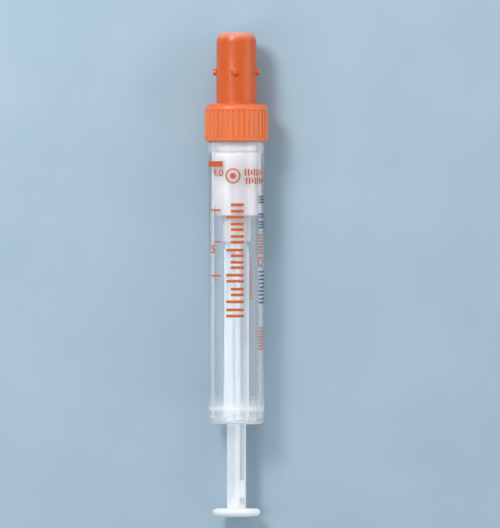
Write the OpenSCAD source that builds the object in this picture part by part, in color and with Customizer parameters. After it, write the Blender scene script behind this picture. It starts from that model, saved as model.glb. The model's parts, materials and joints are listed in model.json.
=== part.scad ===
// Syringe-type blood collection tube, lying at rest on a flat surface.
// Every piece is drawn upright on its own axis, with the base plane of the clear
// tube at z = 0 and the nose of the cap upwards. lay() then puts the whole tube on
// its side: the nose points along +Y and the surface that it lies on is z = 0.

/* [Tube] */
// Outer diameter of the clear tube
tube_d = 16; // [14:0.1:18]
// Wall thickness of the clear tube
tube_wall = 0.8; // [0.7:0.05:1]
// Height of the tube from its base plane to its mouth
tube_len = 90.6; // [82:0.1:100]
// Rounding of the outer base edge
base_edge = 1.4; // [0.8:0.1:1.5]
// Height of the floor's upper face above the base plane
floor_z = 1.9; // [1.6:0.1:2.4]
// Thickness of the floor
floor_t = 1.3; // [0.8:0.1:1.5]
// Height of the catch ring that holds the drawn piston
catch_z = 4.1; // [3.4:0.1:5]
// How far the catch ring stands in from the bore
catch_h = 0.12; // [0.06:0.01:0.14]
// Length of the slope that leads onto the catch ring
catch_slope = 4; // [2:0.1:6]
// Wall thickness of the threaded neck
neck_wall = 0.55; // [0.4:0.05:0.65]
// Length of the neck below the mouth
neck_len = 9.7; // [8:0.1:10.5]

/* [Screw cap] */
// Height of the skirt, from its lower edge to the top of the roof
skirt_len = 10.9; // [10.2:0.1:12]
// Wall of the skirt between its ribs
skirt_wall = 0.6; // [0.5:0.05:0.9]
// Thickness of the roof
roof_t = 1.2; // [0.9:0.1:1.5]
// Number of grip ribs, an odd number
rib_n = 35; // [29:2:41]
// Radius of one rounded rib
rib_r = 0.5; // [0.35:0.05:0.6]
// How far a rib stands out from the skirt
rib_h = 0.36; // [0.25:0.01:0.45]
// Height of the plain lip under the ribs
lip_h = 0.9; // [0.75:0.05:1.1]
// Rounding of the lip's lower edge
lip_round = 0.7; // [0.4:0.05:0.7]
// Height of the smooth shoulder over the ribs
shoulder_h = 1.75; // [1.7:0.05:2.5]
// Rounding of the shoulder
shoulder_round = 1.6; // [1:0.1:1.7]
// Length of the plug that seals inside the mouth
plug_len = 3.5; // [2.5:0.1:4.5]
// Wall of the plug
plug_wall = 0.8; // [0.6:0.05:1]

/* [Nose] */
// Length of the nose above the roof
nose_len = 20.5; // [18:0.1:23]
// Diameter of the nose above the bayonet pins
nose_d = 11.46; // [10.8:0.01:12]
// Growth of the nose diameter below the bayonet pins
nose_step = 0.14; // [0.1:0.02:0.3]
// Wall of the nose
nose_wall = 1.15; // [1:0.05:1.4]
// Height of the rounded end of the nose
nose_round = 3; // [2.5:0.1:3.5]
// Diameter of the flat tip
tip_d = 9.4; // [8.6:0.1:9.8]
// Thickness of the end wall over the membrane
tip_t = 2.5; // [2.2:0.1:3]
// Diameter of the needle hole in the tip
hole_d = 4.4; // [3.6:0.1:5]
// Number of bayonet pins
pin_n = 4; // [2:2:4]
// Diameter of a bayonet pin
pin_d = 1.9; // [1.5:0.1:2.2]
// How far a bayonet pin stands out of the nose
pin_h = 1; // [0.7:0.05:1.2]
// Depth of the pin centres below the tip
pin_drop = 11.4; // [10.5:0.1:13.5]
// Turn of the pins from the front
pin_turn = 4; // [0:1:20]

/* [Membrane] */
// Thickness of the rubber membrane at its rim
membrane_len = 6; // [5:0.1:7]
// Thickness of the web that the needle pierces
membrane_web = 2.4; // [1.8:0.1:2.8]
// Inward height of the bead that keeps the membrane in the nose
bead_h = 0.25; // [0.15:0.05:0.35]

/* [Piston] */
// Depth of the piston's crown below the mouth, as supplied
piston_depth = 10.9; // [9:0.1:16]
// Length of the piston body
body_len = 18; // [14:0.1:19]
// Height of the crown above the body
crown_h = 2; // [1.7:0.1:2.4]
// Step from the body's radius in to the crown
crown_step = 1.05; // [0.8:0.05:1.3]
// Radius of the sealing lip's rounded edge
lip_r = 0.45; // [0.3:0.05:0.6]
// Wall of the piston's skirt
body_wall = 1.3; // [1.1:0.1:1.5]
// Thickness of the piston's end wall
head_t = 2.2; // [1.8:0.1:2.8]
// Diameter of the collar that holds the rod
collar_d = 8.25; // [7.8:0.05:8.6]
// Length of the collar below the body
collar_len = 7.6; // [6:0.05:9]

/* [Plunger rod] */
// Diameter over the ribs inside the tube
rod_d = 7.1; // [6.6:0.05:7.6]
// Diameter over the ribs outside the tube
shank_d = 5.4; // [4.8:0.05:5.8]
// Thickness of the rod's crossed ribs
rod_rib_t = 1.3; // [1:0.05:1.6]
// Turn of the crossed ribs from the front
rod_turn = 8; // [0:1:45]
// Distance from the tube's base plane to the thumb disc's outer face
rod_out = 26.65; // [24:0.05:34]
// Diameter of the thumb disc
thumb_d = 13.7; // [12:0.1:15.5]
// Thickness of the thumb disc's rounded rim
thumb_t = 2.15; // [1.8:0.05:2.4]
// Rise of the thumb disc's outer face from its rim to its flat middle
thumb_rise = 0.3; // [0.1:0.05:0.5]
// Diameter of the flat middle of the outer face
thumb_flat_d = 5; // [4:0.5:7]
// Height of the cone that stiffens the thumb disc
foot_h = 3.6; // [3:0.1:5]
// Height of the web between two ribs above the cone
web_h = 4.55; // [3:0.05:5]
// Diameter of the part of the rod that enters the piston's collar
neck_d = 5.8; // [5.4:0.05:6]
// How far the rod's snap ring stands out
snap_h = 0.35; // [0.25:0.05:0.4]
// Length of the rod's neck in the collar, up to its snap ring
snap_z = 8; // [7:0.1:9]
// Length of the taper between the rod's sections
taper = 1.4; // [1:0.1:2]

/* [Clearances] */
// Running clearance of the sealing lip and of the membrane
seal_gap = 0.04; // [0.02:0.01:0.08]
// Clearance of the piston body inside the catch ring
catch_gap = 0.08; // [0.05:0.01:0.12]
// Clearance of the collar in the floor's hole
hole_gap = 0.15; // [0.1:0.01:0.25]
// Clearance between the cap and the tube, and where faces seat
cap_gap = 0.12; // [0.08:0.01:0.2]
// Clearance of the rod's neck in the collar
snap_gap = 0.08; // [0.05:0.01:0.1]

/* [Hidden] */
$fn = 96;

CLEAR = [0.86, 0.91, 0.95, 0.35];
ORANGE = [0.88, 0.42, 0.24];
RUBBER = [0.72, 0.72, 0.70];
WHITE = [0.91, 0.92, 0.94];
NATURAL = [0.86, 0.90, 0.94];

// Overshoot of every cut past the face that it opens
cut = 1;

// Tube: radii and levels
tube_r = tube_d / 2;
bore_r = tube_r - tube_wall;
catch_r = bore_r - catch_h;
neck_r = bore_r + neck_wall;
collar_r = collar_d / 2;
floor_hole_r = collar_r + hole_gap;
neck_z = tube_len - neck_len;
foot_ring_r = tube_r - base_edge - tube_wall / 4;

// Cap: levels, then radii
roof_under = tube_len + cap_gap;
roof_top = roof_under + roof_t;
skirt_z = roof_top - skirt_len;
nose_top = roof_top + nose_len;
pin_z = nose_top - pin_drop;
nose_step_z = pin_z + pin_d / 2;
seat_z = nose_top - tip_t;
skirt_bore_r = tube_r + cap_gap;
valley_r = skirt_bore_r + skirt_wall;
rib_ring_r = valley_r + rib_h - rib_r;
lip_ring_r = valley_r + rib_h * 0.6;
shoulder_r = valley_r + rib_h * 0.75;
rib_z0 = skirt_z + lip_h;
rib_z1 = roof_top - shoulder_h;
plug_r = bore_r - cap_gap;
nose_r = nose_d / 2;
nose_base_r = nose_r + nose_step / 2;
nose_bore_r = nose_r - nose_wall;
tip_r = tip_d / 2;
tip_edge = 0.4;
hole_r = hole_d / 2;
// Arc that leaves the nose wall smoothly and meets the flat tip
nose_drop = nose_r - tip_r;
nose_arc = (pow(nose_round, 2) + pow(nose_drop, 2)) / (2 * nose_drop);

// Membrane
membrane_r = nose_bore_r - seal_gap;
membrane_top = seat_z - cap_gap / 2;
membrane_z = membrane_top - membrane_len;
dimple_depth = (membrane_len - membrane_web) / 2;

// Piston
crown_top = tube_len - piston_depth;
body_top = crown_top - crown_h;
body_z = body_top - body_len;
collar_z = body_z - collar_len;
body_r = catch_r - catch_gap;
seal_r = bore_r - seal_gap;
crown_r = body_r - crown_step;
crown_edge = crown_h * 0.4;
socket_r = neck_d / 2 + snap_gap;
snap_r = neck_d / 2 + snap_h;
snap_t = 1.5;
snap_bottom = collar_z + snap_z;
socket_top = snap_bottom + snap_t + 4 * snap_gap;

// Plunger rod
rod_r = rod_d / 2;
shank_r = shank_d / 2;
rod_neck_r = neck_d / 2;
rod_shoulder_z = collar_z - 2 * snap_gap;
step_z = floor_z - floor_t;
thumb_z = -rod_out;
thumb_rim_r = (thumb_d - thumb_t) / 2;
thumb_rim_z = thumb_z + thumb_rise + thumb_t / 2;
thumb_top = thumb_rim_z + thumb_t / 2;
foot_top = thumb_top + foot_h;

// Rest on the side: the lower ends of two ribs and the rounded base edge touch the surface.
// The tilt solves  a * cos(tilt) - b * sin(tilt) = c  for those two heights.
rest_a = rib_ring_r * cos(180 / rib_n) + rib_r - (tube_r - base_edge);
rest_b = rib_z0 - base_edge;
rest_c = base_edge;
tilt = acos(rest_c / norm([rest_a, rest_b])) - atan2(rest_b, rest_a);
axis_h = (tube_r - base_edge) * cos(tilt) + base_edge - base_edge * sin(tilt);
reach_nose = (nose_top - tip_edge) * cos(tilt) + (tip_r - tip_edge) * sin(tilt) + tip_edge;
reach_thumb = rod_out * cos(tilt) + thumb_flat_d / 2 * sin(tilt);
axis_y = (reach_thumb - reach_nose) / 2;

// Lays an upright piece on its side, nose along +Y
module lay() {
    translate([0, axis_y, axis_h]) rotate([tilt - 90, 0, 0]) children();
}

// Half-profile of a band from radius 0 to r, between two heights
module band(r, z0, z1) {
    translate([0, z0]) square([r, z1 - z0]);
}

// Half-profile of a band whose upper outer edge is rounded
module round_top(r, z0, z1, edge) {
    band(r, z0, z1 - edge);
    band(r - edge, z0, z1);
    translate([r - edge, z1 - edge]) circle(edge);
}

// Half-profile of a band whose lower outer edge is rounded
module round_bottom(r, z0, z1, edge) {
    band(r, z0 + edge, z1);
    band(r - edge, z0, z1);
    translate([r - edge, z0 + edge]) circle(edge);
}

// Clear tube: threaded neck, plain wall, catch ring, and a floor with a hole for the rod
module tube() {
    color(CLEAR) lay() rotate_extrude() difference() {
        union() {
            round_bottom(tube_r, 0, neck_z, base_edge);
            band(neck_r, 0, tube_len);
        }
        polygon([
            [-cut, floor_z], [bore_r, floor_z], [bore_r, catch_z - catch_h], [catch_r, catch_z],
            [bore_r, catch_z + catch_slope], [bore_r, tube_len + cut], [-cut, tube_len + cut]
        ]);
        translate([-cut, -cut]) square([floor_hole_r + cut, floor_z + 2 * cut]);
        translate([-cut, -cut]) square([foot_ring_r + cut, floor_z - floor_t + cut]);
    }
}

// Ring of rounded grip ribs, with a wall behind them that the skirt's wall takes in.
// One rib faces the front, so an odd number leaves a groove at the back, where the cap rests.
module grip_ribs() {
    translate([0, 0, rib_z0]) linear_extrude(rib_z1 - rib_z0) difference() {
        union() {
            circle(valley_r);
            for (i = [0 : rib_n - 1])
                rotate(i * 360 / rib_n - 90) translate([rib_ring_r, 0]) circle(rib_r);
        }
        circle(valley_r - skirt_wall / 2);
    }
}

// One bayonet pin, with a rounded outer edge, pointing away from the axis
module bayonet_pin() {
    root = nose_bore_r + nose_wall / 2;
    translate([0, 0, pin_z]) rotate([90, 0, 0]) rotate_extrude()
        intersection() {
            translate([0, root]) round_top(pin_d / 2, 0, nose_r + pin_h - root, pin_d / 4);
            translate([0, root]) square([pin_d, nose_d]);
        }
}

// Half-profile of the cap's outside, without ribs and pins
module cap_outside() {
    round_bottom(lip_ring_r, skirt_z, skirt_z + lip_h, lip_round);
    band(valley_r - skirt_wall / 4, skirt_z + lip_h / 2, roof_under);
    round_top(shoulder_r, rib_z1, roof_top, shoulder_round);
    // the nose narrows by a small cone just above the pins
    polygon([
        [0, roof_under], [nose_base_r, roof_under], [nose_base_r, nose_step_z],
        [nose_r, nose_step_z + 2 * nose_step], [nose_r, nose_top - nose_round], [0, nose_top - nose_round]
    ]);
    intersection() {
        translate([nose_r - nose_arc, nose_top - nose_round]) circle(nose_arc);
        round_top(nose_r, nose_top - nose_round - tip_edge, nose_top, tip_edge);
    }
}

// Screw cap: ribbed skirt, sealing plug and hollow nose with bayonet pins, in one moulding
module screw_cap() {
    color(ORANGE) lay() {
        rotate_extrude() {
            difference() {
                cap_outside();
                translate([-cut, skirt_z - cut]) square([skirt_bore_r + cut, roof_under - skirt_z + cut]);
                translate([-cut, roof_under - cut]) square([nose_bore_r + cut, seat_z - roof_under + cut]);
                translate([-cut, seat_z - cut]) square([hole_r + cut, tip_t + 2 * cut]);
            }
            // plug that seals inside the mouth
            polygon([
                [plug_r - plug_wall, roof_under + roof_t / 2], [plug_r - plug_wall, roof_under - plug_len],
                [plug_r - plug_wall / 2, roof_under - plug_len],
                [plug_r, roof_under - plug_len + plug_wall], [plug_r, roof_under + roof_t / 2]
            ]);
            // bead under the membrane
            polygon([
                [nose_r - nose_wall / 2, membrane_z - cap_gap / 2],
                [nose_bore_r - bead_h, membrane_z - cap_gap / 2],
                [nose_bore_r, membrane_z - cap_gap / 2 - 2 * bead_h],
                [nose_r - nose_wall / 2, membrane_z - cap_gap / 2 - 2 * bead_h]
            ]);
        }
        grip_ribs();
        for (i = [0 : pin_n - 1])
            rotate([0, 0, i * 360 / pin_n - pin_turn]) bayonet_pin();
    }
}

// Rubber membrane that the needle pierces, dished on both faces
module membrane() {
    color(RUBBER) lay() rotate_extrude() difference() {
        band(membrane_r, membrane_z, membrane_top);
        polygon([
            [-cut, membrane_top - dimple_depth], [hole_r / 2, membrane_top - dimple_depth],
            [hole_r, membrane_top + cut], [-cut, membrane_top + cut]
        ]);
        polygon([
            [-cut, membrane_z + dimple_depth], [hole_r, membrane_z + dimple_depth],
            [nose_bore_r - nose_wall, membrane_z - cut], [-cut, membrane_z - cut]
        ]);
    }
}

// Piston: crown, sealing lip, hollow skirt, and the collar that the rod snaps into
module piston() {
    core_top = body_top - head_t;
    color(WHITE) lay() rotate_extrude() difference() {
        union() {
            round_bottom(body_r, body_z, body_top, lip_r);
            translate([seal_r - lip_r, body_top - lip_r]) circle(lip_r);
            band(seal_r - lip_r, body_top - 2 * lip_r, body_top);
            band(crown_r - crown_edge, body_top, crown_top - crown_edge);
            round_top(crown_r, crown_top - 2 * crown_edge, crown_top, crown_edge);
            translate([crown_r - crown_edge, crown_top - crown_edge]) circle(crown_edge);
            band(collar_r, collar_z, body_top);
        }
        translate([collar_r, body_z - cut]) square([body_r - body_wall - collar_r, core_top - body_z + cut]);
        translate([-cut, collar_z - cut]) square([socket_r + cut, socket_top - collar_z + cut]);
        translate([-cut, snap_bottom - snap_gap])
            square([snap_r + snap_gap + cut, socket_top - snap_bottom + snap_gap]);
    }
}

// Outline that the rod's crossed ribs fill, as a half-profile
module rod_outline() {
    polygon([
        [0, thumb_rim_z], [shank_r, thumb_rim_z], [shank_r, step_z],
        [rod_r, step_z + taper], [rod_r, rod_shoulder_z - 2 * taper],
        [rod_neck_r, rod_shoulder_z], [0, rod_shoulder_z]
    ]);
}

// Plunger rod: crossed ribs, thumb disc with its cone, one web, and a round neck with a snap ring
module plunger_rod() {
    web_r = shank_r * 0.93;
    color(NATURAL) lay() rotate([0, 0, rod_turn]) {
        intersection() {
            rotate_extrude() rod_outline();
            union() {
                translate([-rod_rib_t / 2, -rod_d, thumb_z]) cube([rod_rib_t, 2 * rod_d, rod_out + tube_len]);
                translate([-rod_d, -rod_rib_t / 2, thumb_z]) cube([2 * rod_d, rod_rib_t, rod_out + tube_len]);
            }
        }
        // thumb disc, its outer face a little raised to a flat middle, and the cone over it
        rotate_extrude() {
            polygon([[0, thumb_z], [thumb_flat_d / 2, thumb_z], [thumb_rim_r, thumb_z + thumb_rise],
                     [thumb_rim_r, thumb_top], [0, thumb_top]]);
            translate([thumb_rim_r, thumb_rim_z]) circle(thumb_t / 2);
            polygon([[0, thumb_rim_z], [shank_r, thumb_rim_z], [shank_r, thumb_top],
                     [rod_rib_t / 2, foot_top], [0, foot_top]]);
        }
        // web in the front right corner of the cross
        intersection() {
            translate([0, 0, foot_top]) cylinder(r = web_r, h = web_h);
            translate([0, -web_r, foot_top]) cube([web_r, web_r, web_h]);
        }
        // neck and snap ring in the piston's collar
        rotate_extrude() {
            band(rod_neck_r, rod_shoulder_z - 2 * taper, snap_bottom + snap_t);
            polygon([[0, snap_bottom], [snap_r, snap_bottom], [snap_r, snap_bottom + snap_t / 3],
                     [rod_neck_r, snap_bottom + snap_t], [0, snap_bottom + snap_t]]);
        }
    }
}

tube();
screw_cap();
membrane();
piston();
plunger_rod();
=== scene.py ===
"""Looks of a syringe-type blood collection tube, lying at rest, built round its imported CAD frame.

The pieces are drawn upright in millimetres on the tube's own axis, with the tube's base plane at
height 0 and the nose upwards, and `lay` then puts each finished mesh where the CAD tube lies.
"""

import json
import math

import bmesh
import bpy
from mathutils import Matrix, Vector


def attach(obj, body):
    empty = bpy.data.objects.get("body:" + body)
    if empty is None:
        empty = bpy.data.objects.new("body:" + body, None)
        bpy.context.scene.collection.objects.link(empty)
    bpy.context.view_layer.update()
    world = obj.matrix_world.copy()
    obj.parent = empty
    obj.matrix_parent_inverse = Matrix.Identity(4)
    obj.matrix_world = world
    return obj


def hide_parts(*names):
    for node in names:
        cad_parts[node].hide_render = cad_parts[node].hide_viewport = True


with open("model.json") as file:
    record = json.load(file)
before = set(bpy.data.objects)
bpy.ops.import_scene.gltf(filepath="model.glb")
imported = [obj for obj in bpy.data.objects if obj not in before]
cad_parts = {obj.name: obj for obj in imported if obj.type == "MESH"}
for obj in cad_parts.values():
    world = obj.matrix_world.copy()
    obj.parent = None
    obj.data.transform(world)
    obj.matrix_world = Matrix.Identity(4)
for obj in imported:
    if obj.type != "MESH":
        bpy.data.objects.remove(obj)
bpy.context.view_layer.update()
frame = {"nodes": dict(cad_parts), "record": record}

# ---------------------------------------------------------------------------------------------
# Camera. It looks down on the lying tube, square to its axis, with the nose at the top of the
# picture. A long lens from three metres keeps the tube's sides parallel and its rims straight.
# ---------------------------------------------------------------------------------------------
MM = 0.001                         # metres in a millimetre
mounts = {m["name"]: m for m in frame["record"]["mounts"]}
along = Vector(mounts["nose"]["axis"]).normalized()
across = Vector((1, 0, 0))
back = along.cross(across)
thumb_face = Vector(mounts["thumb_face"]["pos_m"])


def ends(node, start):
    """Where a CAD node begins and ends along the tube's axis, in millimetres past a point."""
    heights = [(vert.co - start).dot(along) / MM for vert in frame["nodes"][node].data.vertices]
    return round(min(heights), 2), round(max(heights), 2)


ROD_OUT = ends("tube", thumb_face)[0]  # thumb disc's face to the tube's base plane, mm
base = thumb_face + along * ROD_OUT * MM
lay = Matrix((across, back, along)).transposed().to_4x4() @ Matrix.Scale(MM, 4)
lay.translation = base

VIEW_DISTANCE = 3.0                # metres from the camera to the tube
VIEW_HEIGHT = 45.97                # height on the tube that the view is centred on, mm
VIEW_SIDE = 3.9                    # how far the view is centred to the right of the tube, mm
FRAME_SPAN = 0.15155               # what the picture's long side takes in at the tube, metres
SENSOR = 36                        # width of the camera's sensor, mm

camera_data = bpy.data.cameras.new("camera")
camera_data.sensor_width = SENSOR
camera_data.lens = SENSOR * VIEW_DISTANCE / FRAME_SPAN
camera_data.clip_start, camera_data.clip_end = 0.01, 10
camera = bpy.data.objects.new("camera", camera_data)
camera.matrix_world = Matrix((across, along, -back)).transposed().to_4x4()
camera.location = lay @ Vector((VIEW_SIDE, 0, VIEW_HEIGHT)) - back * VIEW_DISTANCE
bpy.context.collection.objects.link(camera)
bpy.context.scene.camera = camera

# ---------------------------------------------------------------------------------------------
# Clear tube. The real one is injection moulded in polypropylene: a plain barrel with a thin
# threaded neck, a floor with a hole for the rod, and a low catch ring a little above the floor.
# It is clear with a slight haze, and the moulding leaves faint long flow lines in its skin.
# ---------------------------------------------------------------------------------------------
TUBE_R = mounts["tube_body"]["dims"]["r_mm"]
TUBE_TOP = ends("tube", base)[1]
BORE_R = TUBE_R - 0.8
NECK_R, NECK_Z = BORE_R + 0.55, TUBE_TOP - 9.7
FLOOR_TOP, FLOOR_UNDER, FLOOR_HOLE_R, RECESS_R = 1.9, 0.6, 4.275, 6.4
BASE_ROUND, FLOOR_FILLET, RIM_ROUND, STEP_ROUND = 1.4, 0.35, 0.2, 0.1
EDGE = 0.15                        # rounding of the tube's other edges
CATCH_R, CATCH_Z, CATCH_SLOPE, CATCH_ROUND = BORE_R - 0.12, 4.1, 4.0, 0.14
THREAD_LEAD, THREAD_Z = 3.2, NECK_Z + 1.3
NECK_TURNS, NECK_RIDGE, RIDGE_SUNK = 2.0, 0.34, 0.1
THREAD_STEPS, RIDGE_SIDES = 240, 10
LATHE_TURNS = 160                  # facets round a turned body
SLIVER = 0.0005                    # edges shorter than this are dissolved
FLOW_DEPTH = 0.00001               # height of the flow lines in the wall's skin, metres
LIGHT_THROUGH = (0.66, 0.68, 0.70, 1)  # what a lamp keeps of its light through the wall

# how milky the wall looks at each height, in tenths of a metre: the rounded foot, the floor, the
# catch ring with its slope, the plain barrel and the threaded neck; partly the wall's own haze and
# partly painted light: a painted highlight along the foot's bottom edge and the catch ring, and
# painted light at the neck that lifts the shade under the cap
WALL_MILK_AND_LIGHT = (
    (0.004, 0.90), (0.009, 0.26), (0.014, 0.20), (0.018, 0.27), (0.026, 0.15), (0.036, 0.15),
    (0.042, 0.42), (0.047, 0.36), (0.060, 0.16), (0.076, 0.09), (0.096, 0.0), (0.770, 0.0),
    (0.785, 0.26),
)


def bend(centre, radius, start, end, steps=6):
    """Points along an arc of an outline, from one angle to another in degrees."""
    angles = [math.radians(start + (end - start) * i / steps) for i in range(steps + 1)]
    return [(centre[0] + radius * math.cos(a), centre[1] + radius * math.sin(a)) for a in angles]


def mesh_of(body, name):
    """A plain upright mesh from a bmesh, its faces turned outwards."""
    bmesh.ops.recalc_face_normals(body, faces=body.faces)
    data = bpy.data.meshes.new(name)
    body.to_mesh(data)
    body.free()
    return data


def turned(name, outline, closed=True, turns=LATHE_TURNS):
    """An upright mesh of the body that an outline of (radius, height) sweeps round the axis."""
    body = bmesh.new()
    angles = [2 * math.pi * i / turns for i in range(turns)]
    rings = []
    for radius, height in outline:
        if radius == 0:
            rings.append([body.verts.new((0, 0, height))] * turns)
            continue
        spots = [(radius * math.sin(a), -radius * math.cos(a), height) for a in angles]
        rings.append([body.verts.new(spot) for spot in spots])
    pairs = list(zip(rings, rings[1:]))
    if closed:
        pairs.append((rings[-1], rings[0]))
    for low, high in pairs:
        for i in range(turns):
            j = (i + 1) % turns
            corners = list(dict.fromkeys((low[i], low[j], high[j], high[i])))
            if len(corners) > 2:
                body.faces.new(corners)
    return mesh_of(body, name)


def fused(meshes):
    """One closed mesh from several that run into each other, so light spreads through all of it."""
    carriers = [bpy.data.objects.new("carrier", data) for data in meshes]
    for carrier in carriers:
        bpy.context.collection.objects.link(carrier)
    for other in carriers[1:]:
        union = carriers[0].modifiers.new("union", "BOOLEAN")
        union.operation = "UNION"
        union.solver = "EXACT"
        union.object = other
    graph = bpy.context.evaluated_depsgraph_get()
    whole = bpy.data.meshes.new_from_object(carriers[0].evaluated_get(graph))
    carriers[0].modifiers.clear()
    for carrier in carriers:
        bpy.data.objects.remove(carrier)
    return whole


def laid(name, data, material, sharp):
    """An object that lies in the frame from an upright mesh, smooth but for its sharp edges."""
    data.materials.clear()
    data.materials.append(material)
    data.transform(lay)
    data.shade_smooth()
    data.set_sharp_from_angle(angle=math.radians(sharp))
    piece = bpy.data.objects.new(name, data)
    bpy.context.collection.objects.link(piece)
    return piece


def moulding(name, data, material, sharp=32):
    """The finished object of one moulding: its upright mesh without slivers, laid in the frame."""
    whole = bmesh.new()
    whole.from_mesh(data)
    bmesh.ops.dissolve_degenerate(whole, edges=whole.edges, dist=SLIVER)
    clean = mesh_of(whole, name)
    for polygon in clean.polygons:
        polygon.material_index = 0
    return laid(name, clean, material, sharp)


def feed(value, socket):
    """Feeds a socket from another socket, or sets it to a plain value."""
    if isinstance(value, bpy.types.NodeSocket):
        socket.id_data.links.new(value, socket)
    else:
        socket.default_value = value


def new_material(name):
    """A material, its Principled shader, and Object coordinates in the tube's own turn."""
    material = bpy.data.materials.new(name)
    material.use_nodes = True
    nodes = material.node_tree.nodes
    turn = nodes.new("ShaderNodeMapping")
    turn.vector_type = "TEXTURE"
    turn.inputs["Location"].default_value = lay.translation
    turn.inputs["Rotation"].default_value = lay.to_3x3().normalized().to_euler()
    feed(nodes.new("ShaderNodeTexCoord").outputs["Object"], turn.inputs["Vector"])
    return material, nodes["Principled BSDF"], turn.outputs["Vector"]


def grain(spot, scale, detail=3.0, stretch=(1, 1, 1)):
    """A noise in the material, in cells per metre; a small last stretch draws it out lengthwise."""
    shape = spot.id_data.nodes.new("ShaderNodeMapping")
    shape.inputs["Scale"].default_value = stretch
    noise = spot.id_data.nodes.new("ShaderNodeTexNoise")
    noise.inputs["Scale"].default_value = scale
    noise.inputs["Detail"].default_value = detail
    feed(spot, shape.inputs["Vector"])
    feed(shape.outputs["Vector"], noise.inputs["Vector"])
    return noise.outputs["Fac"]


def between(factor, low, high, start=0.3, end=0.7):
    """Carries a factor over to a colour or a value between two ends."""
    ramp = factor.id_data.nodes.new("ShaderNodeValToRGB")
    for element, place, value in zip(ramp.color_ramp.elements, (start, end), (low, high)):
        element.position = place
        element.color = (*value, 1) if isinstance(value, tuple) else (value, value, value, 1)
    feed(factor, ramp.inputs["Fac"])
    return ramp.outputs["Color"]


def stepped(factor, stops):
    """Carries a height over to a value that changes from stop to stop."""
    ramp = factor.id_data.nodes.new("ShaderNodeValToRGB")
    line = ramp.color_ramp.elements
    line[0].position, line[1].position = stops[0][0], stops[-1][0]
    for place, _ in stops[1:-1]:
        line.new(place)
    for element, (_, value) in zip(line, stops):
        element.color = (value, value, value, 1)
    feed(factor, ramp.inputs["Fac"])
    return ramp.outputs["Color"]


def maths(operation, *values):
    """A Math node on its values, which are plain numbers or sockets of one tree."""
    tree = next(value.id_data for value in values if isinstance(value, bpy.types.NodeSocket))
    node = tree.nodes.new("ShaderNodeMath")
    node.operation = operation
    for value, socket in zip(values, node.inputs):
        feed(value, socket)
    return node.outputs[0]


def tube_height(spot):
    """Height on the tube in tenths of a metre, a measure that a colour ramp can split finely."""
    parts = spot.id_data.nodes.new("ShaderNodeSeparateXYZ")
    feed(spot, parts.inputs["Vector"])
    return maths("MULTIPLY", parts.outputs["Z"], 10)


def bump(shader, factor, depth, strength):
    """Raises the surface by a noise, with its depth in metres."""
    node = shader.id_data.nodes.new("ShaderNodeBump")
    node.inputs["Strength"].default_value = strength
    node.inputs["Distance"].default_value = depth
    feed(factor, node.inputs["Height"])
    feed(node.outputs["Normal"], shader.inputs["Normal"])


def clear_plastic():
    """Clear polypropylene: a trace of haze, milkier where the wall is thick; the milk where the
    wall is seen edge on is a painted highlight, and the milk by height is partly painted light.
    """
    material, shader, spot = new_material("clear_polypropylene")
    nodes = material.node_tree.nodes
    edge = nodes.new("ShaderNodeLayerWeight")
    edge.inputs["Blend"].default_value = 0.5
    # the milk where the wall is seen edge on is a painted highlight: the bright lines along the
    # tube's sides
    rim_highlight = between(edge.outputs["Facing"], 0.04, 0.42, 0.39, 0.45)
    rim_highlight_fade = between(edge.outputs["Facing"], 1.0, 0.25, 0.47, 0.54)
    # milk by height is partly the wall's haze and partly painted highlight and painted light
    milk_and_light_by_height = stepped(tube_height(spot), WALL_MILK_AND_LIGHT)
    milk_and_painted_light = maths("MAXIMUM", maths("MULTIPLY", rim_highlight, rim_highlight_fade), milk_and_light_by_height)
    feed(maths("SUBTRACT", 1.0, milk_and_painted_light), shader.inputs["Transmission Weight"])
    shader.inputs["IOR"].default_value = 1.49
    haze = grain(spot, 260, stretch=(1, 1, 0.15))
    feed(between(haze, (0.93, 0.95, 0.97), (0.97, 0.98, 0.99)), shader.inputs["Base Color"])
    feed(between(haze, 0.02, 0.07), shader.inputs["Roughness"])
    bump(shader, grain(spot, 420, 2, (1, 1, 0.04)), FLOW_DEPTH, 0.12)
    # lamps shine through the thin wall, as they do through the real one
    passing = nodes.new("ShaderNodeBsdfTransparent")
    passing.inputs["Color"].default_value = LIGHT_THROUGH
    mix = nodes.new("ShaderNodeMixShader")
    feed(nodes.new("ShaderNodeLightPath").outputs["Is Shadow Ray"], mix.inputs["Fac"])
    feed(shader.outputs["BSDF"], mix.inputs[1])
    feed(passing.outputs["BSDF"], mix.inputs[2])
    feed(mix.outputs["Shader"], nodes["Material Output"].inputs["Surface"])
    return material


def node_group(name, **sizes):
    """A node group on a mesh, with a named input for its material and each of its sizes."""
    tree = bpy.data.node_groups.new(name, "GeometryNodeTree")
    kinds = {"Geometry": "NodeSocketGeometry", **sizes, "Material": "NodeSocketMaterial"}
    for label, kind in kinds.items():
        tree.interface.new_socket(label, in_out="INPUT", socket_type=kind)
    tree.interface.new_socket("Geometry", in_out="OUTPUT", socket_type="NodeSocketGeometry")
    return tree, tree.nodes, tree.nodes.new("NodeGroupInput").outputs


def end_group(tree, geometry, material):
    """Ends a node group: what it made becomes plain mesh and takes its material."""
    real = tree.nodes.new("GeometryNodeRealizeInstances")
    coated = tree.nodes.new("GeometryNodeSetMaterial")
    result = tree.nodes.new("NodeGroupOutput")
    feed(geometry, real.inputs["Geometry"])
    feed(real.outputs["Geometry"], coated.inputs["Geometry"])
    feed(material, coated.inputs["Material"])
    feed(coated.outputs["Geometry"], result.inputs["Geometry"])


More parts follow.
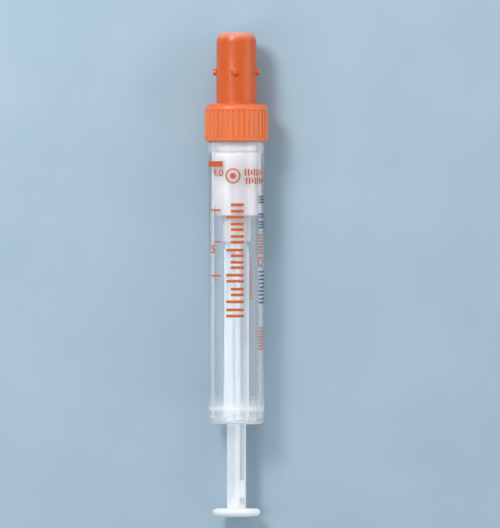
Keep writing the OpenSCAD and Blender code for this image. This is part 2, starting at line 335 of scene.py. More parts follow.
def thread_tree():
    """Node group that sweeps a helical thread ridge round the axis, thinning out at both ends."""
    sizes = dict.fromkeys(("Radius", "Lead", "Turns", "Bottom", "Ridge"), "NodeSocketFloat")
    tree, nodes, given = node_group("helical_thread", **sizes)
    steps = nodes.new("GeometryNodeResampleCurve")
    steps.inputs["Count"].default_value = THREAD_STEPS
    feed(nodes.new("GeometryNodeCurvePrimitiveLine").outputs["Curve"], steps.inputs["Curve"])
    share = nodes.new("GeometryNodeSplineParameter").outputs["Factor"]
    turns = maths("MULTIPLY", share, given["Turns"])
    angle = maths("MULTIPLY", turns, 2 * math.pi)
    helix = nodes.new("ShaderNodeCombineXYZ")
    feed(maths("MULTIPLY", maths("COSINE", angle), given["Radius"]), helix.inputs["X"])
    feed(maths("MULTIPLY", maths("SINE", angle), given["Radius"]), helix.inputs["Y"])
    feed(maths("ADD", maths("MULTIPLY", turns, given["Lead"]), given["Bottom"]), helix.inputs["Z"])
    moved = nodes.new("GeometryNodeSetPosition")
    feed(steps.outputs["Curve"], moved.inputs["Geometry"])
    feed(helix.outputs["Vector"], moved.inputs["Position"])
    # the ridge swells from nothing over the first and last tenth of its length
    from_end = maths("MINIMUM", share, maths("SUBTRACT", 1.0, share))
    swell = maths("MINIMUM", maths("ADD", maths("MULTIPLY", from_end, 10), 0.05), 1.0)
    sized = nodes.new("GeometryNodeSetCurveRadius")
    feed(moved.outputs["Geometry"], sized.inputs["Curve"])
    feed(maths("MULTIPLY", swell, given["Ridge"]), sized.inputs["Radius"])
    section = nodes.new("GeometryNodeCurvePrimitiveCircle")
    section.inputs["Resolution"].default_value = RIDGE_SIDES
    section.inputs["Radius"].default_value = 1
    swept = nodes.new("GeometryNodeCurveToMesh")
    swept.inputs["Fill Caps"].default_value = True
    feed(sized.outputs["Curve"], swept.inputs["Curve"])
    feed(section.outputs["Curve"], swept.inputs["Profile Curve"])
    feed(nodes.new("GeometryNodeInputRadius").outputs["Radius"], swept.inputs["Scale"])
    end_group(tree, swept.outputs["Mesh"], given["Material"])
    return tree


def socket_id(tree, name):
    """The identifier of a node group's input, by which a modifier sets it."""
    sockets = tree.interface.items_tree
    return next(s.identifier for s in sockets if s.name == name and s.in_out == "INPUT")


def grown_mesh(tree, source, **values):
    """Runs a node group on an upright mesh and returns the plain upright mesh that it makes."""
    carrier = bpy.data.objects.new("carrier", source)
    bpy.context.collection.objects.link(carrier)
    modifier = carrier.modifiers.new("grow", "NODES")
    modifier.node_group = tree
    for name, value in values.items():
        modifier[socket_id(tree, name)] = value
    bpy.context.view_layer.update()
    graph = bpy.context.evaluated_depsgraph_get()
    grown = bpy.data.meshes.new_from_object(carrier.evaluated_get(graph))
    carrier.modifiers.clear()
    bpy.data.objects.remove(carrier)
    return grown


tube_outline = [
    *bend((FLOOR_HOLE_R + EDGE, FLOOR_UNDER + EDGE), EDGE, 180, 270, 3),
    (RECESS_R - EDGE, FLOOR_UNDER), (RECESS_R, FLOOR_UNDER - STEP_ROUND),
    *bend((RECESS_R + EDGE, EDGE), EDGE, 180, 270, 3),
    *bend((TUBE_R - BASE_ROUND, BASE_ROUND), BASE_ROUND, -90, 0, 12),
    *bend((TUBE_R - STEP_ROUND, NECK_Z - STEP_ROUND), STEP_ROUND, 0, 90, 3),
    (NECK_R + STEP_ROUND, NECK_Z), (NECK_R, NECK_Z + STEP_ROUND),
    *bend((NECK_R - RIM_ROUND, TUBE_TOP - RIM_ROUND), RIM_ROUND, 0, 90, 4),
    *bend((BORE_R + EDGE, TUBE_TOP - EDGE), EDGE, 90, 180, 4),
    (BORE_R, CATCH_Z + CATCH_SLOPE), (BORE_R - 0.02, CATCH_Z + CATCH_SLOPE - 0.4),
    (CATCH_R, CATCH_Z + 0.25),
    *bend((CATCH_R + 0.12, CATCH_Z + 0.02), CATCH_ROUND, 160, 250, 4),
    (BORE_R, CATCH_Z - 0.25),
    *bend((BORE_R - FLOOR_FILLET, FLOOR_TOP + FLOOR_FILLET), FLOOR_FILLET, 0, -90, 5),
    *bend((FLOOR_HOLE_R + EDGE, FLOOR_TOP - EDGE), EDGE, 90, 180, 3),
]
clear = clear_plastic()
screw_thread = thread_tree()
neck_thread = grown_mesh(screw_thread, bpy.data.meshes.new("thread"), Radius=NECK_R - RIDGE_SUNK,
                         Lead=THREAD_LEAD, Turns=NECK_TURNS, Bottom=THREAD_Z, Ridge=NECK_RIDGE,
                         Material=clear)
tube = moulding("clear_tube", fused([turned("tube", tube_outline), neck_thread]), clear)
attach(tube, "barrel")
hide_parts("tube")

# ---------------------------------------------------------------------------------------------
# Print on the tube. The real tube is screen printed in orange, and its batch line is stamped in
# dark blue: a thin film of ink on the wall. Here it is a scale with plain numbers, a ring mark,
# and bars that carry no words.
# ---------------------------------------------------------------------------------------------
INK_LIFT, INK_THICK = 0.012, 0.022
INK_FACET = 0.35                   # arc between the cuts that let flat ink bend round the tube
LINE = 0.42                        # width of a scale line
DASH = 0.36                        # height of a dash in the batch line and beside the ladder
FONT_SIZE, FONT_WEIGHT = 1.38, 0.024  # for digits one unit tall
SQUARE = ((-1, -1), (1, -1), (1, 1), (-1, 1))

# where each mark is: turns round the tube are in degrees from the front, to the right
FULL_TURN, FULL_Z, FULL_WIDE, FULL_TALL = -59.5, 74.65, 8.4, 1.55
CROSS_TURN, CROSS_HEIGHTS, CROSS_WIDE, CROSS_TALL, CROSS_STEM = -50, (61.4, 42.6), 4.4, 2.4, 0.34
TICK_TURN, TICK_Z, TICK_WIDE = -42, 52.3, 2.3
NUMBERS = (("9.0", -42, 72.2, 2.1, 1.15), ("5", -56, 50.3, 2.3, 1.5))
RING_TURN, RING_Z, RING_R, DOT_R = -7, 71.2, 2.2, 0.85
STROKE_TURN, STROKE_COUNT, STROKE_PITCH, STROKE_WIDE = 19, 8, 0.98, 0.5
STROKE_HEIGHTS = (1.9, 1.9, 1.2, 1.9)
LADDER_LEFT, LADDER_RIGHT, LADDER_TOP, LADDER_INSET = -2.95, 2.15, 62.9, 1.35
RUNG, RUNG_DROP = 0.8, 0.35
# rungs of the ladder from the top: 1 for a long one, and what is added to the drop after it
RUNGS = (
    (0, 1.5), (0, 1.3), (1, 1.7), (0, 1.2), (0, 1.6), (0, 1.3), (0, 1.9), (1, 1.3), (0, 1.5),
    (0, 1.2), (0, 1.8), (1, 1.4), (1, 1.9), (0, 1.3), (0, 1.6), (1, 2.0), (1, 1.4), (1, 0),
)
BATCH_TURN, BATCH_WIDTHS = 68, (4.4, 3.4, 4.0)
BATCH_GROUPS = ((65.2, 3, 0.8), (60.2, 2, 0.8), (58.0, 3, 0.8), (43.7, 9, 1.1))
SIDE_PITCH, SIDE_RING_TURN, SIDE_RING_Z, SIDE_RING_R = 0.86, 61, 46.6, 1.45
SIDE_GROUPS = ((54.3, 7, 62, 3.0), (27.6, 8, 64, 3.3), (47.4, 14, 32, 0.5))


def arc_at(degrees):
    """Arc length round the tube for an angle from the front."""
    return math.radians(degrees) * TUBE_R


def wrapped(flat, name, material):
    """Makes a film of ink round the tube from a flat bmesh of (arc, height) shapes."""
    cuts = int(math.pi * TUBE_R / INK_FACET)
    for i in range(-cuts, cuts + 1):
        bmesh.ops.bisect_plane(flat, geom=[*flat.verts, *flat.edges, *flat.faces],
                               plane_co=(i * INK_FACET, 0, 0), plane_no=(1, 0, 0))
    grown = bmesh.ops.extrude_face_region(flat, geom=list(flat.faces))
    top = {v for v in grown["geom"] if isinstance(v, bmesh.types.BMVert)}
    for vert in flat.verts:
        angle = vert.co.x / TUBE_R
        radius = TUBE_R + INK_LIFT + (INK_THICK if vert in top else 0)
        vert.co = Vector((radius * math.sin(angle), -radius * math.cos(angle), vert.co.y))
    print_piece = laid(name, mesh_of(flat, name), material, 50)
    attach(print_piece, "barrel")


def flat_bar(flat, arc, height, wide, tall):
    """A rectangle of ink, centred at an arc and a height."""
    corners = [(arc + x * wide / 2, height + y * tall / 2, 0) for x, y in SQUARE]
    flat.faces.new([flat.verts.new(corner) for corner in corners])


def flat_circle(flat, arc, height, radius, sides=40):
    """The points of a circle, centred at an arc and a height."""
    angles = [2 * math.pi * i / sides for i in range(sides)]
    return [flat.verts.new((arc + radius * math.cos(a), height + radius * math.sin(a), 0))
            for a in angles]


def flat_ring(flat, arc, height, radius):
    """A ring of ink, one scale line wide."""
    outside = flat_circle(flat, arc, height, radius)
    inside = flat_circle(flat, arc, height, radius - LINE)
    for i in range(len(outside)):
        flat.faces.new((outside[i - 1], outside[i], inside[i], inside[i - 1]))


def flat_number(flat, text, arc, height, tall, broad):
    """A plain number, centred at an arc and a height, its digits broader than the font has them."""
    curve = bpy.data.curves.new("number", "FONT")
    curve.body = text
    curve.size = tall * FONT_SIZE
    curve.align_x = "CENTER"
    curve.offset = tall * FONT_WEIGHT
    curve.resolution_u = 6
    carrier = bpy.data.objects.new("number", curve)
    bpy.context.collection.objects.link(carrier)
    graph = bpy.context.evaluated_depsgraph_get()
    digits = bpy.data.meshes.new_from_object(carrier.evaluated_get(graph))
    bpy.data.objects.remove(carrier)
    broaden = Matrix.Diagonal((broad, 1, 1, 1))
    digits.transform(Matrix.Translation((arc, height - tall / 2, 0)) @ broaden)
    flat.from_mesh(digits)


def ink(name, colour, worn):
    """Printing ink: a dry film whose colour thins a little in patches."""
    material, shader, spot = new_material(name)
    colours = between(grain(spot, 1500, 4), colour, worn, 0.45, 0.85)
    feed(colours, shader.inputs["Base Color"])
    feed(between(grain(spot, 3000), 0.35, 0.6), shader.inputs["Roughness"])
    return material


orange_ink = ink("orange_ink", (0.55, 0.085, 0.002), (0.61, 0.125, 0.015))
blue_ink = ink("blue_ink", (0.03, 0.04, 0.12), (0.08, 0.10, 0.20))

# scale: a solid block at the full mark, two crosses, a short tick, and two plain numbers
scale_print = bmesh.new()
flat_bar(scale_print, arc_at(FULL_TURN), FULL_Z, FULL_WIDE, FULL_TALL)
for height in CROSS_HEIGHTS:
    flat_bar(scale_print, arc_at(CROSS_TURN), height, CROSS_WIDE, LINE)
    flat_bar(scale_print, arc_at(CROSS_TURN), height - 0.25, CROSS_STEM, CROSS_TALL)
flat_bar(scale_print, arc_at(TICK_TURN), TICK_Z, TICK_WIDE, LINE)
for text, turn, height, tall, broad in NUMBERS:
    flat_number(scale_print, text, arc_at(turn), height, tall, broad)
wrapped(scale_print, "scale_print", orange_ink)

# ring mark with a dot, and two rows of strokes beside it
mark_print = bmesh.new()
flat_ring(mark_print, arc_at(RING_TURN), RING_Z, RING_R)
mark_print.faces.new(flat_circle(mark_print, arc_at(RING_TURN), RING_Z, DOT_R))
for height, start in ((RING_Z + 1.0, 0.0), (RING_Z - 1.4, 0.3)):
    for i in range(STROKE_COUNT):
        arc = arc_at(STROKE_TURN) + start + i * STROKE_PITCH
        flat_bar(mark_print, arc, height, STROKE_WIDE, STROKE_HEIGHTS[i % len(STROKE_HEIGHTS)])
wrapped(mark_print, "mark_print", orange_ink)

# ladder of bars down the middle, some long and some short, lined up on the right
ladder_print = bmesh.new()
height = LADDER_TOP
for long_bar, gap in RUNGS:
    left = LADDER_LEFT if long_bar else LADDER_LEFT + LADDER_INSET
    flat_bar(ladder_print, (left + LADDER_RIGHT) / 2, height, LADDER_RIGHT - left, RUNG)
    height -= gap + RUNG_DROP
wrapped(ladder_print, "ladder_print", orange_ink)

# batch line round the right side in groups of dark dashes, and orange dashes with a small ring
batch_print = bmesh.new()
for top, count, pitch in BATCH_GROUPS:
    for i in range(count):
        wide = BATCH_WIDTHS[i % len(BATCH_WIDTHS)]
        flat_bar(batch_print, arc_at(BATCH_TURN), top - i * pitch, wide, DASH)
wrapped(batch_print, "batch_print", blue_ink)
side_print = bmesh.new()
for top, count, turn, wide in SIDE_GROUPS:
    for i in range(count):
        flat_bar(side_print, arc_at(turn), top - i * SIDE_PITCH, wide, DASH)
flat_ring(side_print, arc_at(SIDE_RING_TURN), SIDE_RING_Z, SIDE_RING_R)
wrapped(side_print, "side_print", orange_ink)

# ---------------------------------------------------------------------------------------------
# Screw cap. The real one is a single moulding in orange polyethylene: a ribbed skirt with the
# thread inside, a roof with a sealing plug under it, and the hollow nose with bayonet pins.
# ---------------------------------------------------------------------------------------------
SKIRT_Z, NOSE_TOP = ends("screw_cap", base)
ROOF_UNDER = TUBE_TOP + 0.12
ROOF_TOP = ROOF_UNDER + 1.2
SKIRT_BORE_R = TUBE_R + 0.12
VALLEY_R = SKIRT_BORE_R + 0.6      # skirt's outside between the ribs
LIP_R, SHOULDER_R = VALLEY_R + 0.216, VALLEY_R + 0.27
LIP_ROUND, ROOF_ROUND, SKIRT_EDGE = 0.7, 1.6, 0.08
RIB_COUNT, RIB_R, RIB_LOW, RIB_HIGH = 35, 0.5, SKIRT_Z + 0.9, ROOF_TOP - 1.75
RIB_RING_R = VALLEY_R + 0.36 - RIB_R
PLUG_R, PLUG_WALL, PLUG_LEN = BORE_R - 0.12, 0.8, 3.5
NOSE_R = mounts["nose"]["dims"]["r_mm"]
NOSE_BASE_R, NOSE_BORE_R, TIP_R = NOSE_R + 0.07, NOSE_R - 1.15, NOSE_R - 1.03
NOSE_HOLE_R = mounts["needle_hole"]["dims"]["r_mm"]
TIP_THICK = mounts["needle_hole"]["dims"]["length_mm"]
NOSE_ROUND, NOSE_FILLET, TIP_ROUND = 3.0, 0.4, 0.3
MEMBRANE_LOW, MEMBRANE_TOP = ends("membrane", base)
SEAT, SEAT_LIP = MEMBRANE_LOW - 0.06, 0.25  # lip in the nose that holds the membrane
PIN_Z, PIN_R, PIN_OUT, PIN_ROOT, PIN_ROUND = NOSE_TOP - 11.4, 0.95, 1.0, 0.4, 0.4
PIN_COUNT, PIN_TURN = 4, math.radians(-4)
CAP_TURNS, CAP_RIDGE, CAP_RIDGE_SUNK = 1.7, 0.3, 0.08
SKIN_DEPTH = 0.00002               # height of the fine unevenness in a moulded skin, metres
ORANGE_SCATTER = 0.0028            # how deep light spreads in the orange plastic, metres


def mixed(share, plain, other):
    """A mix of two colours by a share."""
    node = share.id_data.nodes.new("ShaderNodeMix")
    node.data_type = "RGBA"
    feed(share, node.inputs["Factor"])
    for socket, colour in zip((node.inputs[6], node.inputs[7]), (plain, other)):
        feed((*colour, 1) if isinstance(colour, tuple) else colour, socket)
    return node.outputs[2]


def cap_plastic():
    """Orange polyethylene: half gloss, lit a little from within; paler at the skirt, which is
    painted light and sheen, and at the tip, which is a painted highlight.
    """
    material, shader, spot = new_material("orange_polyethylene")
    cloud = grain(spot, 180, stretch=(1, 1, 0.4))
    nose = between(cloud, (0.57, 0.091, 0.007), (0.64, 0.115, 0.015))
    # the skirt's paler colour is painted light and sheen on the ribs
    skirt_painted_light = between(cloud, (0.86, 0.172, 0.046), (0.91, 0.205, 0.064))
    # the tip's pale colour is a painted highlight along the rounded tip
    tip_highlight = between(cloud, (0.66, 0.28, 0.20), (0.72, 0.31, 0.23))
    height = tube_height(spot)
    skirt_light_share = between(height, 1.0, 0.0, 0.905, 0.925)
    tip_highlight_share = between(maths("SUBTRACT", height, 1.0), 0.0, 1.0, 0.104, 0.118)
    colours = mixed(tip_highlight_share, mixed(skirt_light_share, nose, skirt_painted_light), tip_highlight)
    feed(colours, shader.inputs["Base Color"])
    feed(between(grain(spot, 900), 0.30, 0.38), shader.inputs["Roughness"])
    bump(shader, grain(spot, 2000, 4), SKIN_DEPTH, 0.08)
    shader.inputs["Specular IOR Level"].default_value = 0.5
    shader.inputs["Subsurface Weight"].default_value = 0.7
    shader.inputs["Subsurface Radius"].default_value = (1.0, 0.6, 0.4)
    shader.inputs["Subsurface Scale"].default_value = ORANGE_SCATTER
    return material


def ring_tree():
    """Node group that sets copies of its mesh round the axis at equal turns."""
    sizes = {"Count": "NodeSocketInt", "Start": "NodeSocketFloat"}
    tree, nodes, given = node_group("ring_of_copies", **sizes)
    stations = nodes.new("GeometryNodeMeshLine")
    stations.inputs["Offset"].default_value = (0, 0, 0)
    feed(given["Count"], stations.inputs["Count"])
    place = nodes.new("GeometryNodeInputIndex").outputs["Index"]
    step = maths("DIVIDE", 2 * math.pi, given["Count"])
    turn = nodes.new("ShaderNodeCombineXYZ")
    feed(maths("MULTIPLY_ADD", place, step, given["Start"]), turn.inputs["Z"])
    copies = nodes.new("GeometryNodeInstanceOnPoints")
    feed(stations.outputs["Mesh"], copies.inputs["Points"])
    feed(given["Geometry"], copies.inputs["Instance"])
    feed(turn.outputs["Vector"], copies.inputs["Rotation"])
    end_group(tree, copies.outputs["Instances"], given["Material"])
    return tree


nose_drop = NOSE_R - TIP_R
nose_arc = (NOSE_ROUND ** 2 + nose_drop ** 2) / (2 * nose_drop)
nose_end = math.degrees(math.asin((NOSE_ROUND - 0.35) / nose_arc))
cap_outline = [
    *bend((SKIRT_BORE_R + SKIRT_EDGE, SKIRT_Z + SKIRT_EDGE), SKIRT_EDGE, 180, 270, 3),
    *bend((LIP_R - LIP_ROUND, SKIRT_Z + LIP_ROUND), LIP_ROUND, -90, 0, 7),
    (LIP_R, RIB_LOW - 0.08), (LIP_R - 0.06, RIB_LOW), (VALLEY_R, RIB_LOW + 0.2),
    (VALLEY_R, RIB_HIGH - 0.3), (SHOULDER_R - 0.06, RIB_HIGH - 0.05),
    (SHOULDER_R, RIB_HIGH + 0.08),
    *bend((SHOULDER_R - ROOF_ROUND, ROOF_TOP - ROOF_ROUND), ROOF_ROUND, 0, 90, 9),
    *bend((NOSE_BASE_R + NOSE_FILLET, ROOF_TOP + NOSE_FILLET), NOSE_FILLET, 270, 180, 5),
    (NOSE_BASE_R, PIN_Z + PIN_R), (NOSE_R, PIN_Z + PIN_R + 0.28),
    *bend((NOSE_R - nose_arc, NOSE_TOP - NOSE_ROUND), nose_arc, 0, nose_end, 9),
    *bend((TIP_R - 0.16, NOSE_TOP - TIP_ROUND), TIP_ROUND, 35, 90, 4),
    *bend((NOSE_HOLE_R + TIP_ROUND, NOSE_TOP - TIP_ROUND), TIP_ROUND, 90, 180, 5),
    (NOSE_HOLE_R, NOSE_TOP - TIP_THICK), (NOSE_BORE_R, NOSE_TOP - TIP_THICK),
    (NOSE_BORE_R, SEAT), (NOSE_BORE_R - SEAT_LIP, SEAT), (NOSE_BORE_R, SEAT - 2 * SEAT_LIP),
    (NOSE_BORE_R, ROOF_UNDER), (PLUG_R - PLUG_WALL, ROOF_UNDER),
    (PLUG_R - PLUG_WALL, ROOF_UNDER - PLUG_LEN), (PLUG_R - PLUG_WALL / 2, ROOF_UNDER - PLUG_LEN),
    (PLUG_R, ROOF_UNDER - PLUG_LEN + PLUG_WALL), (PLUG_R, ROOF_UNDER),
    (SKIRT_BORE_R, ROOF_UNDER),
]
orange = cap_plastic()
copy_ring = ring_tree()

# one rib is a slim capsule, rounded at both ends
rib = bmesh.new()
bmesh.ops.create_uvsphere(rib, u_segments=12, v_segments=8, radius=RIB_R)
for vert in rib.verts:
    high = vert.co.z > 0
    vert.co.z += RIB_HIGH - RIB_R if high else RIB_LOW + RIB_R
    vert.co.y -= RIB_RING_R
ribs = grown_mesh(copy_ring, mesh_of(rib, "rib"), Count=RIB_COUNT, Start=0.0, Material=orange)

# one bayonet pin is a stub with a rounded edge and a small fillet where it meets the nose
pin_outline = [
    (0, NOSE_R - PIN_ROOT), (PIN_R + 0.2, NOSE_R - PIN_ROOT), (PIN_R + 0.2, NOSE_R - 0.03),
    (PIN_R + 0.06, NOSE_R + 0.08), (PIN_R, NOSE_R + 0.25),
    *bend((PIN_R - PIN_ROUND, NOSE_R + PIN_OUT - PIN_ROUND), PIN_ROUND, 0, 90, 5),
    (0, NOSE_R + PIN_OUT),
]
pin = turned("pin", pin_outline, closed=False, turns=28)
pin.transform(Matrix.Translation((0, 0, PIN_Z)) @ Matrix.Rotation(math.pi / 2, 4, "X"))
pins = grown_mesh(copy_ring, pin, Count=PIN_COUNT, Start=PIN_TURN, Material=orange)

# the cap's thread runs half a turn out of step with the neck's, so the two ridges mesh
cap_thread = grown_mesh(screw_thread, bpy.data.meshes.new("thread"), Ridge=CAP_RIDGE,
                        Radius=SKIRT_BORE_R + CAP_RIDGE_SUNK, Lead=THREAD_LEAD, Turns=CAP_TURNS,
                        Bottom=THREAD_Z + THREAD_LEAD / 2, Material=orange)
whole_cap = fused([turned("cap", cap_outline), ribs, pins, cap_thread])
cap = moulding("orange_screw_cap", whole_cap, orange)
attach(cap, "cap")
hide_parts("screw_cap")

# ---------------------------------------------------------------------------------------------
# Membrane. A rubber disc pressed into the nose from below, dished on both faces. Only its upper
# dish shows, through the needle hole in the tip of the nose.
# ---------------------------------------------------------------------------------------------
MEMBRANE_R, MEMBRANE_EDGE = NOSE_BORE_R - 0.04, 0.2
DISH, DISH_ROUND, UNDER_DISH_R = 1.8, 0.6, 3.35


def membrane_rubber():
    """Grey rubber: dry, with a fine uneven skin."""
    material, shader, spot = new_material("membrane_rubber")
    greys = between(grain(spot, 700), (0.36, 0.36, 0.35), (0.46, 0.46, 0.44))
    feed(greys, shader.inputs["Base Color"])
    feed(between(grain(spot, 1600), 0.65, 0.85), shader.inputs["Roughness"])
    bump(shader, grain(spot, 4200, 5), 0.00003, 0.5)
    return material


membrane_rim = MEMBRANE_R - MEMBRANE_EDGE
membrane_outline = [
    (0, MEMBRANE_LOW + DISH), (NOSE_HOLE_R, MEMBRANE_LOW + DISH),
    (UNDER_DISH_R, MEMBRANE_LOW + 0.1),
    *bend((membrane_rim, MEMBRANE_LOW + MEMBRANE_EDGE), MEMBRANE_EDGE, -90, 0, 3),
    *bend((membrane_rim, MEMBRANE_TOP - MEMBRANE_EDGE), MEMBRANE_EDGE, 0, 90, 3),
    (NOSE_HOLE_R, MEMBRANE_TOP),
    *bend((0.5, MEMBRANE_TOP - DISH + DISH_ROUND), DISH_ROUND, 0, -90, 4),
    (0, MEMBRANE_TOP - DISH),
]
membrane_mesh = turned("membrane", membrane_outline, closed=False)
membrane = moulding("rubber_membrane", membrane_mesh, membrane_rubber())
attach(membrane, "membrane")
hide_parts("membrane")

# ---------------------------------------------------------------------------------------------
# Piston. Moulded in white polyethylene: a rounded crown, a thin sealing lip under it, a hollow
# skirt that fills the bore, and the collar below that the rod snaps into.
# ---------------------------------------------------------------------------------------------
COLLAR_Z, CROWN_TOP = ends("piston", base)
BODY_TOP = CROWN_TOP - 2
BODY_Z = BODY_TOP - 18
SEAL_R, BODY_R, CROWN_R, CROWN_ROUND = BORE_R - 0.04, BORE_R - 0.2, 5.95, 0.8
COLLAR_R, COLLAR_EDGE, BODY_EDGE = 4.125, 0.2, 0.45
HOLLOW_R, HOLLOW_TOP, HOLLOW_ROUND = 5.7, BODY_TOP - 2.2, 0.4
SNAP_Z, SNAP_R, SNAP_GAP = COLLAR_Z + 7.92, 3.33, 0.08
SNAP_FLAT, SNAP_SLOPE = 0.5, 1.0
SOCKET_TOP, SOCKET_R = SNAP_Z + 1.9, 2.98
WHITE_SCATTER = 0.005              # how deep light spreads in the white plastic, metres


def milky_plastic(name, colour, shade, depth, thick_and_lit_foot=None):
    """Natural or white polyethylene: milky, softly lit from within, half matt.

    A foot colour, where there is one, takes over near the thumb disc: partly the whiteness of the
    thick plastic, partly painted light that lifts the web out of the front rib's shade.
    """
    material, shader, spot = new_material(name)
    colours = between(grain(spot, 220, stretch=(1, 1, 0.3)), shade, colour)
    if thick_and_lit_foot:
        # the whiter foot is partly painted light on the web and the thumb end, partly the thick
        # plastic
        down = maths("MULTIPLY", tube_height(spot), -1)
        colours = mixed(between(down, 0.0, 1.0, 0.15, 0.20), colours, thick_and_lit_foot)
    feed(colours, shader.inputs["Base Color"])
    feed(between(grain(spot, 1100), 0.34, 0.5), shader.inputs["Roughness"])
    bump(shader, grain(spot, 2200, 4), SKIN_DEPTH, 0.3)
    shader.inputs["Subsurface Weight"].default_value = 0.8
    shader.inputs["Subsurface Radius"].default_value = (1.0, 1.0, 1.0)
    shader.inputs["Subsurface Scale"].default_value = depth
    return material


piston_outline = [
    (0, SOCKET_TOP), (SNAP_R, SOCKET_TOP), (SNAP_R, SNAP_Z), (SOCKET_R, SNAP_Z),
    (SOCKET_R, COLLAR_Z + 0.3), (SOCKET_R + 0.2, COLLAR_Z),
    *bend((COLLAR_R - COLLAR_EDGE, COLLAR_Z + COLLAR_EDGE), COLLAR_EDGE, -90, 0, 3),
    *bend((COLLAR_R + HOLLOW_ROUND, HOLLOW_TOP - HOLLOW_ROUND), HOLLOW_ROUND, 180, 90, 4),
    *bend((HOLLOW_R - HOLLOW_ROUND, HOLLOW_TOP - HOLLOW_ROUND), HOLLOW_ROUND, 90, 0, 4),
    (HOLLOW_R, BODY_Z + 0.2), (HOLLOW_R + 0.2, BODY_Z),
    *bend((BODY_R - BODY_EDGE, BODY_Z + BODY_EDGE), BODY_EDGE, -90, 0, 5),
    (BODY_R, BODY_TOP - 1.5), (BODY_R + 0.02, BODY_TOP - 1.1),
    *bend((SEAL_R - BODY_EDGE, BODY_TOP - BODY_EDGE), BODY_EDGE, 0, 90, 6),
    (CROWN_R - 0.1, BODY_TOP), *bend((CROWN_R - 0.55, BODY_TOP + 0.3), 0.3, 270, 180, 4),
    *bend((CROWN_R - CROWN_ROUND, CROWN_TOP - CROWN_ROUND), CROWN_ROUND, -35, 90, 9),
    (0, CROWN_TOP),
]
white = milky_plastic("white_polyethylene", (0.86, 0.79, 0.79), (0.80, 0.73, 0.735), WHITE_SCATTER)
piston = moulding("white_piston", turned("piston", piston_outline, closed=False), white)
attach(piston, "piston")
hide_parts("piston")

# ---------------------------------------------------------------------------------------------
# Plunger rod. Moulded in natural polypropylene, so it is pale and lets some light through: four
# crossed ribs, thicker inside the tube than outside, a thumb disc with a stiffening cone, one
# small web between two ribs, and a round neck with a snap ring inside the piston's collar.
# ---------------------------------------------------------------------------------------------
ROD_R, SHANK_R, ROD_NECK_R, ROD_RIB = 3.55, 2.7, 2.9, 1.3
ROD_TURN = math.radians(8)
RIB_CORNER, RIB_ROOT = 0.22, 0.35  # rounding of a rib's tip and fillet between two ribs
THUMB_R, THUMB_THICK, THUMB_RISE, THUMB_FLAT_R = 6.85, 2.15, 0.3, 2.5
STEP_LOW, STEP_HIGH = 0.6, 2.0
SHOULDER_HIGH = COLLAR_Z - 0.16
SHOULDER_LOW = SHOULDER_HIGH - 2.8
RIM_Z = THUMB_RISE + THUMB_THICK / 2 - ROD_OUT
FOOT_TOP, WEB_TOP, WEB_SIDE, WEB_CUT = -20.6, -16.05, 2.42, 1.8
ROD_TURNS = 96                     # facets round the thumb disc and the neck
ROD_SCATTER = 0.0045               # how deep light spreads in the rod's plastic, metres


def cross_section(reach):
    """Outline of the four crossed ribs, with softened tips and filleted roots."""
    half = ROD_RIB / 2
    points = []
    for k in range(4):
        turn = Matrix.Rotation(k * math.pi / 2, 2)
        side = [
            *bend((half + RIB_ROOT, -half - RIB_ROOT), RIB_ROOT, 180, 90, 3),
            *bend((reach - RIB_CORNER, RIB_CORNER - half), RIB_CORNER, -90, 0, 3),
            *bend((reach - RIB_CORNER, half - RIB_CORNER), RIB_CORNER, 0, 90, 3),
        ]
        points += [turn @ Vector(p) for p in side]
    return points


def stacked(name, sections):
    """An upright mesh that joins outlines of equally many points, each given with its height."""
    body = bmesh.new()
    rings = [[body.verts.new((x, y, height)) for x, y in section] for height, section in sections]
    for low, high in zip(rings, rings[1:]):
        for i in range(len(low)):
            j = (i + 1) % len(low)
            body.faces.new((low[i], low[j], high[j], high[i]))
    body.faces.new(rings[0][::-1])
    body.faces.new(rings[-1])
    return mesh_of(body, name)


levels = (
    (RIM_Z, SHANK_R), (STEP_LOW, SHANK_R), (STEP_LOW + 0.2, SHANK_R + 0.05),
    (STEP_HIGH - 0.2, ROD_R - 0.05), (STEP_HIGH, ROD_R), (SHOULDER_LOW, ROD_R),
    (SHOULDER_HIGH, ROD_NECK_R),
)
shaft = stacked("shaft", [(height, cross_section(reach)) for height, reach in levels])

# thumb disc, its outer face a little raised to a flat middle, and the cone over it
thumb_top = RIM_Z + THUMB_THICK / 2
thumb_outline = [
    (0, -ROD_OUT), (THUMB_FLAT_R, -ROD_OUT),
    *bend((THUMB_R - THUMB_THICK / 2, RIM_Z), THUMB_THICK / 2, -90, 90, 14),
    (SHANK_R + 0.5, thumb_top), (SHANK_R, thumb_top + 0.25), (ROD_RIB / 2, FOOT_TOP), (0, FOOT_TOP),
]
thumb = turned("thumb", thumb_outline, closed=False, turns=ROD_TURNS)

# neck and snap ring
ring_low, ring_r = SNAP_Z + SNAP_GAP, SNAP_R - SNAP_GAP
neck_outline = [
    (0, SHOULDER_LOW), (ROD_NECK_R, SHOULDER_LOW), (ROD_NECK_R, ring_low), (ring_r, ring_low),
    (ring_r, ring_low + SNAP_FLAT), (ROD_NECK_R, ring_low + SNAP_FLAT + SNAP_SLOPE),
    (0, ring_low + SNAP_FLAT + SNAP_SLOPE),
]
neck = turned("neck", neck_outline, closed=False, turns=ROD_TURNS)

# web in the front right corner of the cross
web_face = [(0, 0), (0, -WEB_SIDE), (WEB_CUT, -WEB_SIDE), (WEB_SIDE, -WEB_CUT), (WEB_SIDE, 0)]
web = stacked("web", [(FOOT_TOP - 0.5, web_face), (WEB_TOP, web_face)])

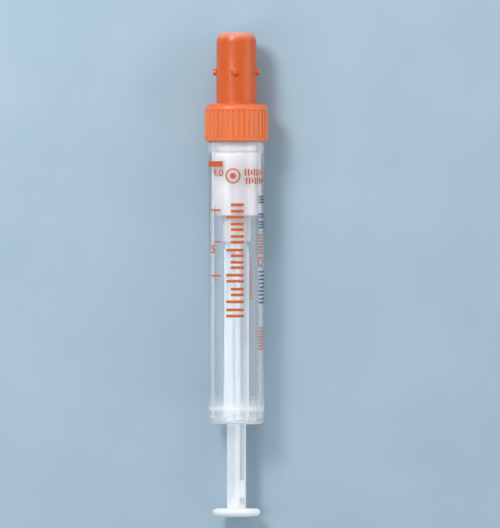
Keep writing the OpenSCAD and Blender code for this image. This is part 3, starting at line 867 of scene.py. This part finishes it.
whole_rod = fused([shaft, thumb, neck, web])
whole_rod.transform(Matrix.Rotation(ROD_TURN, 4, "Z"))
natural = milky_plastic("natural_polypropylene", (0.74, 0.79, 0.84), (0.68, 0.74, 0.80),
                        ROD_SCATTER, thick_and_lit_foot=(0.80, 0.84, 0.88))
rod_piece = moulding("plunger_rod_piece", whole_rod, natural, 40)
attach(rod_piece, "rod")
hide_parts("plunger_rod")

# ---------------------------------------------------------------------------------------------
# Floor and light: a plain pale bench; a key lamp from the nose end on the left, a softer one at
# its side, a wide one past the nose, a wide low fill from the right, and an even pale surround.
# ---------------------------------------------------------------------------------------------
FLOOR_HALF = 1.5                   # half the side of the bench, metres
LAMPS = (                          # name, place, width and length in metres, power in watts
    ("key_lamp", (-0.24, 0.32, 0.44), 0.15, 0.15, 1.8),
    ("side_lamp", (-0.40, -0.10, 0.54), 0.24, 0.50, 0.7),
    ("end_lamp", (-0.06, 0.62, 0.42), 0.90, 0.50, 1.9),
    ("fill_lamp", (0.90, -0.10, 0.36), 1.40, 0.72, 4.5),
)
SURROUND_COLOUR = (0.93, 0.96, 1.0, 1)
SURROUND_STRENGTH = 0.40

floor_mesh = bpy.data.meshes.new("floor")
corners = [(x * FLOOR_HALF, y * FLOOR_HALF, 0) for x, y in SQUARE]
floor_mesh.from_pydata(corners, [], [(0, 1, 2, 3)])
floor = bpy.data.objects.new("floor", floor_mesh)
bpy.context.collection.objects.link(floor)
bench, shader, spot = new_material("pale_bench")
bench_blue = between(grain(spot, 40), (0.33, 0.45, 0.54), (0.36, 0.48, 0.57))
feed(bench_blue, shader.inputs["Base Color"])
shader.inputs["Roughness"].default_value = 0.75
floor_mesh.materials.append(bench)

for name, place, wide, long, power in LAMPS:
    lamp_data = bpy.data.lights.new(name, "AREA")
    lamp_data.shape = "RECTANGLE"
    lamp_data.size, lamp_data.size_y = wide, long
    lamp_data.energy = power
    lamp = bpy.data.objects.new(name, lamp_data)
    lamp.location = place
    lamp.rotation_euler = (-Vector(place)).to_track_quat("-Z", "Y").to_euler()
    bpy.context.collection.objects.link(lamp)

world = bpy.data.worlds.new("surround")
world.use_nodes = True
background = world.node_tree.nodes["Background"]
background.inputs["Color"].default_value = SURROUND_COLOUR
background.inputs["Strength"].default_value = SURROUND_STRENGTH
bpy.context.scene.world = world
bpy.context.scene.view_settings.view_transform = "Standard"
